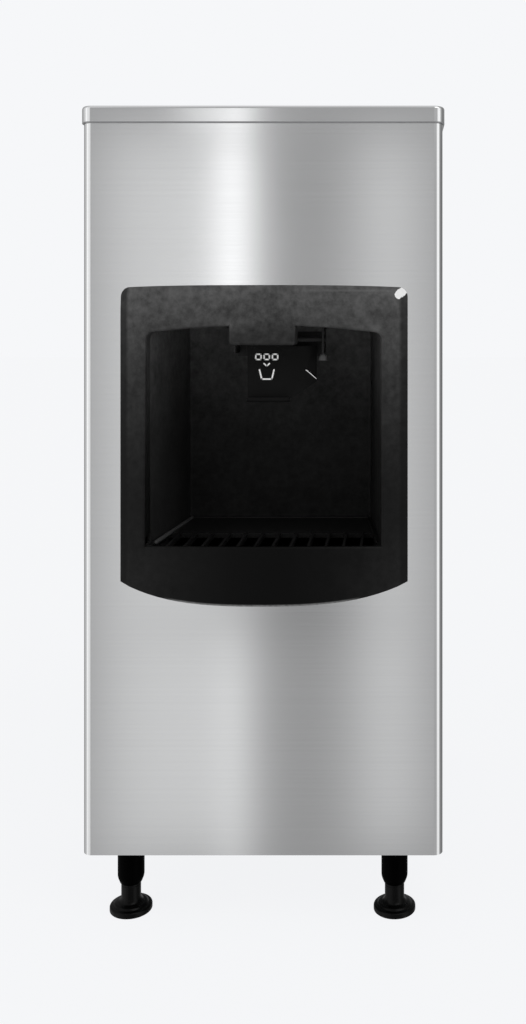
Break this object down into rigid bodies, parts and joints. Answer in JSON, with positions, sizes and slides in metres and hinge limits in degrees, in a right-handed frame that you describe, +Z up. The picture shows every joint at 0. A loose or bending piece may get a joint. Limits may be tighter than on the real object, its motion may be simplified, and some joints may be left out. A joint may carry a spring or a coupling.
{
  "type": "floor-standing ice dispenser",
  "caption": "Floor-standing stainless ice dispenser with a black alcove, push lever, drip grille, insulated hopper with paddle wheel, lift-off cap and levelling feet.",
  "frame": {"origin": "on the floor, under the middle of the whole part's box", "axes": "+Z up, the front with the alcove faces -Y, +X to the right seen from the front"},
  "size_m": [0.566, 0.795, 1.275],
  "materials": {
    "stainless": "fine brushed",
    "galvanised": "dull zinc",
    "black_moulding": "satin",
    "food_plastic": "smooth",
    "foam": "rigid foam",
    "black_leg": "satin",
    "bright_steel": "polished",
    "seal": "matt",
    "grey_paint": "hammer",
    "coil": "matt"
  },
  "bodies": {
    "cabinet": {"alcove_liner": "black_moulding", "base_pan": "galvanised", "basin_hose": "seal", "bezel": "black_moulding", "bezel_screws": "bright_steel", "bracket_screws": "black_leg", "chute": "food_plastic", "control_box": "galvanised", "control_cover": "galvanised", "cord_gland": "black_moulding", "corner_posts": "galvanised", "drain_locknuts": "food_plastic", "drain_outlet": "food_plastic", "drip_basin": "black_moulding", "drive_bulkhead": "galvanised", "front_bush": "food_plastic", "front_panel": "stainless", "gate_solenoid": "coil", "gear_motor": "grey_paint", "hopper_hose": "seal", "hopper_insulation": "foam", "hopper_liner": "food_plastic", "left_side_panel": "stainless", "leg_nuts": "bright_steel", "leg_plates": "galvanised", "leg_sockets": "black_leg", "lever_bracket": "black_leg", "lever_pin": "black_leg", "lever_switch": "black_moulding", "motor_bracket": "galvanised", "rear_bush": "food_plastic", "rear_panel": "stainless", "rear_screws": "bright_steel", "relays": "coil", "right_side_panel": "stainless", "service_cover": "stainless", "solenoid_bracket": "galvanised", "top_frame": "galvanised", "transformer": "grey_paint"},
    "lid": {"top_cap": "stainless", "cap_edge_seal": "seal", "cap_gasket": "seal"},
    "push_lever": {"lever": "black_moulding", "lever_brace": "bright_steel"},
    "switch_button": {"switch_plunger": "food_plastic"},
    "wheel": {"paddle_wheel": "food_plastic", "agitator": "bright_steel", "drive_shaft": "bright_steel"},
    "gate": {"gate_flap": "stainless", "gate_crank": "bright_steel"},
    "plunger": {"solenoid_plunger": "bright_steel"},
    "grille": {"drip_grille": "black_moulding"},
    "front_left_foot": {"foot_front_left": "black_leg"},
    "front_right_foot": {"foot_front_right": "black_leg"},
    "rear_left_foot": {"foot_rear_left": "black_leg"},
    "rear_right_foot": {"foot_rear_right": "black_leg"}
  },
  "joints": [
    {"name": "lid_lift", "type": "slide", "parent": "cabinet", "child": "lid", "axis": [0, 0, 1], "range_m": [0, 0.12]},
    {"name": "lever_push", "type": "hinge", "parent": "cabinet", "child": "push_lever", "pos_m": [0.005, -0.2815, 0.912], "axis": [1, 0, 0], "range_deg": [0, 14], "stiffness_Nm_per_rad": 0.6, "springref_deg": -14.32},
    {"name": "switch_press", "type": "slide", "parent": "cabinet", "child": "switch_button", "axis": [0, 1, 0], "range_m": [0, 0.0036]},
    {"name": "wheel_spin", "type": "hinge", "parent": "cabinet", "child": "wheel", "pos_m": [0, 0, 0.93], "axis": [0, 1, 0], "continuous": true},
    {"name": "gate_swing", "type": "hinge", "parent": "cabinet", "child": "gate", "pos_m": [0.005, -0.1175, 1.048], "axis": [1, 0, 0], "range_deg": [-40, 0], "stiffness_Nm_per_rad": 0.05, "springref_deg": 17.19},
    {"name": "plunger_push", "type": "slide", "parent": "cabinet", "child": "plunger", "axis": [0, 0, 1], "range_m": [0, 0.0125]},
    {"name": "grille_lift", "type": "slide", "parent": "cabinet", "child": "grille", "axis": [0, 0, 1], "range_m": [0, 0.06]},
    {"name": "front_left_level", "type": "slide", "parent": "cabinet", "child": "front_left_foot", "axis": [0, 0, -1], "range_m": [0, 0.025]},
    {"name": "front_right_level", "type": "slide", "parent": "cabinet", "child": "front_right_foot", "axis": [0, 0, -1], "range_m": [0, 0.025]},
    {"name": "rear_left_level", "type": "slide", "parent": "cabinet", "child": "rear_left_foot", "axis": [0, 0, -1], "range_m": [0, 0.025]},
    {"name": "rear_right_level", "type": "slide", "parent": "cabinet", "child": "rear_right_foot", "axis": [0, 0, -1], "range_m": [0, 0.025]}
  ],
  "couplings": [
    {"joint": "switch_press", "follows": "lever_push", "m_per_rad": 0.014},
    {"joint": "plunger_push", "follows": "gate_swing", "m_per_rad": -0.01657}
  ]
}
